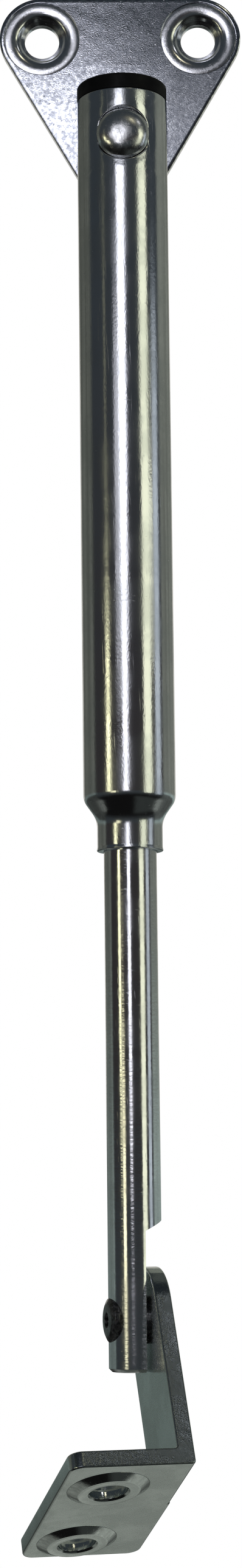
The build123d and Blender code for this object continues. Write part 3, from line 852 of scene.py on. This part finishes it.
addPiece("slidingRod", softEdges(rodMesh(rodSizes), rodSizes["edgeRound"], rodSizes["edgeAngle"]),
         "rod", ["rod"], zincRod)
print("rod made")


# Lower rivet: a black head with a round recess, its tail riveted over outside the leg

lowerRivetSizes = {
    "seat": 3.2, "seatRound": 0.1, "headRadius": 3.25, "rim": 4.0, "rimRound": 0.2,
    "shoulder": 4.38, "shoulderShare": 0.76, "shoulderRound": 0.5, "crown": 4.5,
    "recessRadius": 1.1, "recessDepth": 0.7, "recessRound": 0.1, "mouthDrop": 0.05, "mouthRound": 0.12,
    "pinRadius": 2.0, "tailFace": -4.37, "tailRadius": 2.8, "tailHeight": 0.5, "tailSteps": 8,
}


def lowerRivetProfile(sizes):
    head, pin, recess = sizes["headRadius"], sizes["pinRadius"], sizes["recessRadius"]
    floor, recessRound = sizes["crown"] - sizes["recessDepth"], sizes["recessRound"]
    tail = domePath(sizes["tailRadius"], sizes["tailFace"], -sizes["tailHeight"], sizes["tailSteps"])
    return roundedPath([
        (0.0, floor, 0.0), (recess - recessRound, floor, recessRound),
        (recess, sizes["crown"] - sizes["mouthDrop"], sizes["mouthRound"]),
        (head * sizes["shoulderShare"], sizes["shoulder"], sizes["shoulderRound"]),
        (head, sizes["rim"], sizes["rimRound"]), (head, sizes["seat"], sizes["seatRound"]),
        (pin, sizes["seat"], 0.0), (pin, sizes["tailFace"], 0.0), *((*point, 0.0) for point in tail),
    ])


lowerRivetMesh = turnedMesh(lowerRivetProfile(lowerRivetSizes), placing(lowerPivot, toHead), oxideAndShadeBlack)
addPiece("lowerRivet", lowerRivetMesh, "rod", ["lower_rivet"], oxideAndShadeBlack)
print("lower rivet made")


# Lid bracket: the model's bent sheet with rounded edges, and its own pair of screw rings

bracketSizes = {
    "sheet": 2.5, "edgeRound": 0.3, "ringRadius": 6.0, "ringLip": 0.15, "seat": 26.3,
    "screwLine": 7.42, "screwMiddle": -10.75, "screwSpacing": 20.5,
    "weld": 0.002, "flatAngle": 0.5,
    "cutterGap": 0.02, "cutterFoot": -4.0, "cutterRise": 2.0, "cutterSides": 120,
    "sharpAngle": 40, "ringGap": 0.5,   # edges this sharp and this far from the rings are rounded
    "tightCorner": (0.2, -8.4, -7.0, 4.2),   # greatest x, least and greatest y, greatest z on the foot
    "shearedShare": 0.8,   # how squarely a sheared face looks along the foot
}
footSeat = lowerPivot + downLeg * (bracketSizes["seat"] * unit)
footPlace = placing(footSeat, downLeg * -1, toHead)
alongFoot = footPlace.to_3x3() @ Vector((0, 1, 0))
footSign = 1 if alongFoot.dot(overFoot) > 0 else -1


def bracketMesh(sizes, spots):
    mesh = nodes["lid_bracket"].data
    shape = bmesh.new()
    shape.from_mesh(mesh)
    bmesh.ops.remove_doubles(shape, verts=shape.verts, dist=sizes["weld"] * unit)
    flatAngle, sharpAngle = math.radians(sizes["flatAngle"]), math.radians(sizes["sharpAngle"])
    bmesh.ops.dissolve_limit(shape, angle_limit=flatAngle, verts=shape.verts, edges=shape.edges)
    # sharp edges are rounded, but for those of the rings and of the tight corner behind the bend
    weight = shape.edges.layers.float.new("bevel_weight_edge")
    toFoot = footPlace.inverted()
    corner, clear = sizes["tightCorner"], sizes["ringRadius"] + sizes["ringGap"]
    for edge in shape.edges:
        spot = (toFoot @ ((edge.verts[0].co + edge.verts[1].co) / 2)) / unit
        fromRing = min((spot.xy - Vector(ring[:2])).length for ring in spots)
        isTight = spot.x < corner[0] and corner[1] < footSign * spot.y < corner[2] and spot.z < corner[3]
        if fromRing > clear and not isTight and edge.calc_face_angle(0) > sharpAngle:
            edge[weight] = 1.0
    sheet = bpy.data.meshes.new("bracket")
    shape.to_mesh(sheet)
    shape.free()
    holder = looseObject("bracketSheet", softEdges(sheet, sizes["edgeRound"], byWeight=True))
    reach, below, flare = sizes["ringRadius"] + sizes["cutterGap"], sizes["cutterFoot"], 2 * sizes["ringLip"]
    lipFoot = ringSizes["standoff"] + sizes["sheet"] - sizes["ringLip"]
    lipTop, above = lipFoot + flare, lipFoot + flare + sizes["cutterRise"]
    path = [Vector(p) for p in ((0, below), (reach, below), (reach, lipFoot), (reach + flare, lipTop),
                                (reach + flare, above), (0, above))]
    cutters = []
    for spot in spots:
        place = footPlace @ Matrix.Translation(Vector(spot) * unit)
        cutter = looseObject("ringCutter", turnedMesh(path, place, zincBracket, sizes["cutterSides"]))
        cut = holder.modifiers.new("ring", "BOOLEAN")
        cut.operation = "DIFFERENCE"
        cut.object = cutter
        cut.solver = "EXACT"
        cutters.append(cutter)
    result = harvest(holder)
    for cutter in cutters:
        bpy.data.objects.remove(cutter)
    # the sheared front and back edges are marked for a rougher finish and a darker tint that is partly
    # painted shade
    marks = result.attributes.new("sheared", "FLOAT", "FACE")
    for face, mark in zip(result.polygons, marks.data):
        mark.value = float(abs(face.normal.dot(overFoot)) > sizes["shearedShare"])
        face.use_smooth = True
    return result


middle, halfSpacing = bracketSizes["screwMiddle"], bracketSizes["screwSpacing"] / 2
bracketSpots = [(bracketSizes["screwLine"], footSign * (middle + side * halfSpacing), 0) for side in (1, -1)]
addPiece("bracket", softEdges(bracketMesh(bracketSizes, bracketSpots)),
         "bracket", ["lid_bracket"], zincBracket)
ringPath = screwRingProfile(bracketSizes["sheet"], ringSizes)
addPiece("bracketRings", ringMesh(ringPath, bracketSpots, footPlace, zincBracketRing),
         "bracket", [], zincBracketRing)
print("lid bracket made")


# The model's own small parts keep their shapes and get their finishes

# the leg and wave washers are made black as painted shade in the gap between the rod and the leg, and the
# head washer's black makes a dark line round the dome's lower edge
keptFinishes = [
    (capBlack, ["end_cap"]), (oxideAndShadeBlack, ["head_washer", "leg_washer", "wave_washer"]),
    (washerZinc, ["pivot_spacer", "spring_seat", "thrust_washer", "piston_washer", "tail_washer"]),
    (acetal, ["pivot_sleeve", "stop_bush", "guide_piston"]), (springSteel, ["lift_spring", "rod_clip"]),
]
for finish, nodeNames in keptFinishes:
    for nodeName in nodeNames:
        for materialSlot in nodes[nodeName].material_slots:
            materialSlot.material = finish
print("small parts finished")


# Studio: a pale floor under the stay, soft boxes round it, and a surround that looks plain white

studio = {
    "floorDrop": 262.0, "floorHalf": 200.0, "floorMiddle": -20.0,
    "aim": (0, -11, -120), "boxDistance": 1000,
    # where on a unit sphere each part of the surround sets in, and where it is full
    "behindRise": (-0.02, 0.15), "straightRise": (0.86, 0.93), "levelRise": (0.0, 0.06),
    "lowRise": (-0.5, -0.75), "rightRise": (0.1, 0.28), "sideRise": (-0.25, 0.25),
    "surroundBehind": (0.60, 0.59, 0.54, 1), "surroundLowRight": (0.030, 0.034, 0.032, 1),
    "surroundSeen": (1, 1, 1, 1),   # by the camera itself
    "sideRange": (0.9, 1.75),       # brightness behind the stay, from left to right
    "streakFineness": 24.0, "streakStretch": 0.08, "streakRise": (0.35, 0.65), "streakRange": (0.45, 1.2),
    "frontBands": [
        # height on the unit sphere, colour of the surround in front of the stay
        (-0.50, (0.005, 0.005, 0.005)), (-0.20, (0.032, 0.038, 0.041)), (-0.02, (0.032, 0.038, 0.041)),
        (0.05, (0.028, 0.023, 0.022)), (0.12, (0.028, 0.026, 0.027)), (0.30, (0.030, 0.037, 0.043)),
    ],
    "backBands": [
        # height on the unit sphere, colour of the surround behind the stay
        (-0.70, (0.215, 0.230, 0.208)), (-0.50, (0.055, 0.060, 0.055)), (-0.15, (0.055, 0.060, 0.055)),
        (-0.07, (0.200, 0.250, 0.235)), (0.01, (0.180, 0.215, 0.195)), (0.08, (0.118, 0.126, 0.108)),
    ],
    "boxes": [
        # name, azimuth, elevation, width, height, radiance, colour, and distance if it isn't the usual
        ("camera", -8.0, 19.2, 312, 309, 1.7, (0.93, 0.93, 1.0)),
        ("cameraUpper", -8.6, 26.4, 286, 46, 1.3, (0.93, 0.93, 1.0), 1100),
        ("cameraWide", -22.8, 14.8, 215, 196, 0.55, (0.93, 0.93, 1.0)),
        ("cameraLow", -9.2, 4.4, 201, 222, 1.8, (0.95, 0.94, 1.0)),
        ("besideCamera", 4.6, 25.4, 50, 80, 0.42, (0.93, 0.93, 1.0), 1100),
        ("left", -53.0, 20.0, 55, 293, 0.14, (1.0, 0.98, 0.60)),
        ("leftMiddle", -53.0, 4.5, 170, 192, 1.8, (1.0, 0.97, 0.60)),
        ("leftLow", -41.0, -4.6, 210, 150, 1.5, (1.0, 0.95, 0.62)),
        ("right", 47.5, 8.4, 350, 712, 1.0, (0.98, 1.0, 0.74)),
        ("rightWide", 62.5, 13.0, 160, 92, 0.9, (0.98, 1.0, 0.78)),
        ("farRight", 77.0, 3.0, 270, 620, 0.55, (0.84, 0.93, 1.0)),
        ("highGold", 22.0, 45.0, 110, 90, 3.0, (1.0, 0.92, 0.62)),
        ("highWhite", 48.0, 44.0, 80, 90, 3.4, (1.0, 1.0, 1.0)),
        ("overhead", 0.0, 88.0, 900, 900, 2.2, (1.0, 1.0, 1.0), 900),
    ],
}


def softBox(name, azimuth, elevation, width, height, radiance, colour, distance=studio["boxDistance"]):
    light = bpy.data.lights.new(name + "Box", "AREA")
    light.shape = "RECTANGLE"
    light.size, light.size_y = width * unit, height * unit
    light.energy = radiance * math.pi * light.size * light.size_y
    light.color = colour
    box = looseObject(name + "Box", light)
    turn, lift = math.radians(azimuth), math.radians(elevation)
    away = Vector((math.sin(turn) * math.cos(lift), -math.cos(turn) * math.cos(lift), math.sin(lift)))
    box.location = (Vector(studio["aim"]) + away * distance) * unit
    box.rotation_euler = (away * -1).to_track_quat("-Z", "Y").to_euler()
    # the box overhead only lights, and doesn't show in the metal
    box.visible_camera = False
    box.visible_glossy = name != "overhead"


for settings in studio["boxes"]:
    softBox(*settings)


def bandColours(tree, height, bands):
    # colours one over another, from a list of (height, colour)
    ramp = tree.nodes.new("ShaderNodeValToRGB")
    wire(tree, times(tree, plus(tree, height, 1.0), 0.5), ramp.inputs["Fac"])
    stops = ramp.color_ramp.elements
    while len(stops) < len(bands):
        stops.new(1.0)
    for stop, (level, colour) in zip(stops, bands):
        stop.position = (level + 1) / 2
        stop.color = (*colour, 1)
    return ramp.outputs["Color"]


def streakedColours(tree, coords, colours):
    # the same colours with upright lighter and darker streaks
    stretch = (1, 1, studio["streakStretch"])
    flatter = addNode(tree, "ShaderNodeMapping", {"Vector": coords, "Scale": stretch})[0]
    streaks = noiseNode(tree, flatter, studio["streakFineness"], "streak")
    return scaleColour(tree, colours, rangeNode(tree, streaks, *studio["streakRise"], *studio["streakRange"]))


def surroundWorld():
    world = bpy.data.worlds.new("surround")
    bpy.context.scene.world = world
    world.use_nodes = True
    tree = world.node_tree
    coords = addNode(tree, "ShaderNodeTexCoord")["Generated"]
    split = addNode(tree, "ShaderNodeSeparateXYZ", {0: coords})
    across, depth, height = split["X"], split["Y"], split["Z"]
    room = bandColours(tree, height, studio["frontBands"])
    low = rangeNode(tree, height, *studio["lowRise"])
    right = rangeNode(tree, across, *studio["rightRise"])
    room = mixColours(tree, times(tree, low, right), room, studio["surroundLowRight"])
    back = streakedColours(tree, coords, bandColours(tree, height, studio["backBands"]))
    back = scaleColour(tree, back, rangeNode(tree, across, *studio["sideRise"], *studio["sideRange"]))
    room = mixColours(tree, rangeNode(tree, depth, *studio["behindRise"]), room, back)
    straight = rangeNode(tree, depth, *studio["straightRise"])
    level = rangeNode(tree, height, *studio["levelRise"])
    room = mixColours(tree, times(tree, straight, level), room, studio["surroundBehind"])
    seen = addNode(tree, "ShaderNodeLightPath")["Is Camera Ray"]
    wire(tree, mixColours(tree, seen, room, studio["surroundSeen"]), tree.nodes["Background"].inputs["Color"])


surroundWorld()
floorLook = {
    "paleTint": (0.86, 0.86, 0.85, 1), "deepTint": (0.84, 0.84, 0.84, 1), "cloudSize": 8.0,
    "smooth": 0.6, "rough": 0.7, "metallic": 0.0, "gloss": 0.5,
}
floorShape = bmesh.new()
bmesh.ops.create_grid(floorShape, x_segments=2, y_segments=2, size=studio["floorHalf"] * unit)
floorData = bpy.data.meshes.new("floor")
floorShape.to_mesh(floorData)
floorShape.free()
floorData.transform(Matrix.Translation(Vector((0, studio["floorMiddle"], -studio["floorDrop"])) * unit))
floorData.materials.append(plainFinish("paleFloor", floorLook))
floor = looseObject("floor", floorData)
floor.visible_glossy = False
print("studio lit")


# Camera at the photograph's angle

shot = {
    "place": (-8.27, -443.4, -181.4), "pitch": 7.90, "roll": 0.62, "pan": -0.84,
    "focal": 4744.0, "tall": 2576.0,   # both in the photograph's pixels
    "sensor": 36.0, "clip": (0.01, 20.0),   # sensor in millimetres, clipping in metres
}
camera = looseObject("camera", bpy.data.cameras.new("camera"))
camera.data.sensor_width = shot["sensor"]
camera.data.lens = shot["focal"] / shot["tall"] * shot["sensor"]
camera.data.clip_start, camera.data.clip_end = shot["clip"]
camera.location = Vector(shot["place"]) * unit
camera.rotation_euler = [math.radians(angle) for angle in (90 + shot["pitch"], shot["roll"], shot["pan"])]
bpy.context.scene.camera = camera
bpy.context.scene.view_settings.view_transform = "Standard"
